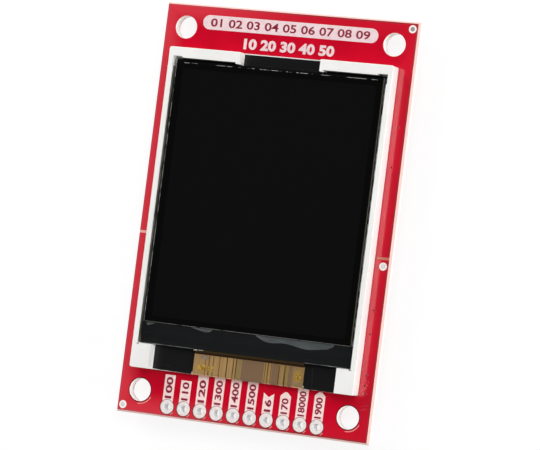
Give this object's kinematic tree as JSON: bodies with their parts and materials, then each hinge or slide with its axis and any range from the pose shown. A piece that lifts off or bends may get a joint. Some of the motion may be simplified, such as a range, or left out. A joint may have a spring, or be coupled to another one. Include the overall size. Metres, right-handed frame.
{
  "type": "tft display module",
  "caption": "Small colour TFT display in a white moulded frame on a red breakout board with header pads, corner holes and a card socket on its back.",
  "frame": {"origin": "under the middle of the board's outline, on the plane that the card socket and the two bulk capacitors rest on", "axes": "+Z out of the screen, +Y from the header pads towards the board's top edge, +X to the right of a viewer who faces the screen"},
  "size_m": [0.0386, 0.059, 0.0058],
  "materials": {
    "amber_polyimide": "amber cover film over copper",
    "black_epoxy": "moulded epoxy",
    "black_nylon": "glass filled nylon",
    "black_silicon": "bare polished silicon",
    "black_tape": "matt black polyester tape",
    "board_laminate": "woven glass and epoxy laminate, sawn grain on the scored edges",
    "cell_glass": "thin flat glass",
    "ceramic_black": "resistor body with a dark glaze",
    "ceramic_tan": "sintered ceramic",
    "clear_acrylic": "clear moulded acrylic",
    "foam_tape": "double sided tape",
    "gold_plate": "gold over nickel",
    "lamp_resin": "white lamp housing",
    "optical_film": "frosted polyester film",
    "polariser_film": "dark polarising film",
    "red_solder_mask": "glossy cured ink over copper",
    "solder": "reflowed solder",
    "stamped_steel": "stamped stainless steel",
    "tinned_copper": "bright tin plating",
    "white_ink": "screen printed ink",
    "white_moulding": "moulded white polycarbonate with a slight sheen",
    "white_reflector": "white polyester film",
    "yellow_epoxy": "moulded tantalum case"
  },
  "bodies": {
    "root": {"alignment_dots": "tinned_copper", "backlight_switch_body": "black_epoxy", "backlight_switch_leads": "tinned_copper", "card_socket_base": "black_nylon", "card_socket_contacts": "gold_plate", "card_socket_shell": "stamped_steel", "ceramic_capacitor_bodies": "ceramic_tan", "ceramic_capacitor_end_caps": "tinned_copper", "circuit_board": "board_laminate", "diffuser_film": "optical_film", "display_flex": "amber_polyimide", "display_frame": "white_moulding", "driver_chip": "black_silicon", "flex_gold_pads": "gold_plate", "flex_solder_joints": "solder", "front_glass": "cell_glass", "front_polariser": "polariser_film", "front_print": "white_ink", "header_pad_01": "tinned_copper", "header_pad_02": "tinned_copper", "header_pad_03": "tinned_copper", "header_pad_04": "tinned_copper", "header_pad_05": "tinned_copper", "header_pad_06": "tinned_copper", "header_pad_07": "tinned_copper", "header_pad_08": "tinned_copper", "header_pad_09": "tinned_copper", "header_pad_10": "tinned_copper", "lamp_1": "lamp_resin", "lamp_2": "lamp_resin", "lamp_3": "lamp_resin", "lamp_strip": "amber_polyimide", "ledge_tape": "black_tape", "left_bulk_capacitor_body": "yellow_epoxy", "left_bulk_capacitor_straps": "tinned_copper", "left_level_shifter_body": "black_epoxy", "left_level_shifter_leads": "tinned_copper", "left_mounting_tape": "foam_tape", "light_guide": "clear_acrylic", "lower_prism_film": "optical_film", "rear_glass": "cell_glass", "rear_polariser": "polariser_film", "reflector_film": "white_reflector", "regulator_body": "black_epoxy", "regulator_leads": "tinned_copper", "resistor_bodies": "ceramic_black", "resistor_end_caps": "tinned_copper", "right_bulk_capacitor_body": "yellow_epoxy", "right_bulk_capacitor_straps": "tinned_copper", "right_level_shifter_body": "black_epoxy", "right_level_shifter_leads": "tinned_copper", "right_mounting_tape": "foam_tape", "rim_tape": "black_tape", "solder_lands": "solder", "solder_mask_back": "red_solder_mask", "solder_mask_front": "red_solder_mask", "upper_prism_film": "optical_film"}
  },
  "joints": []
}
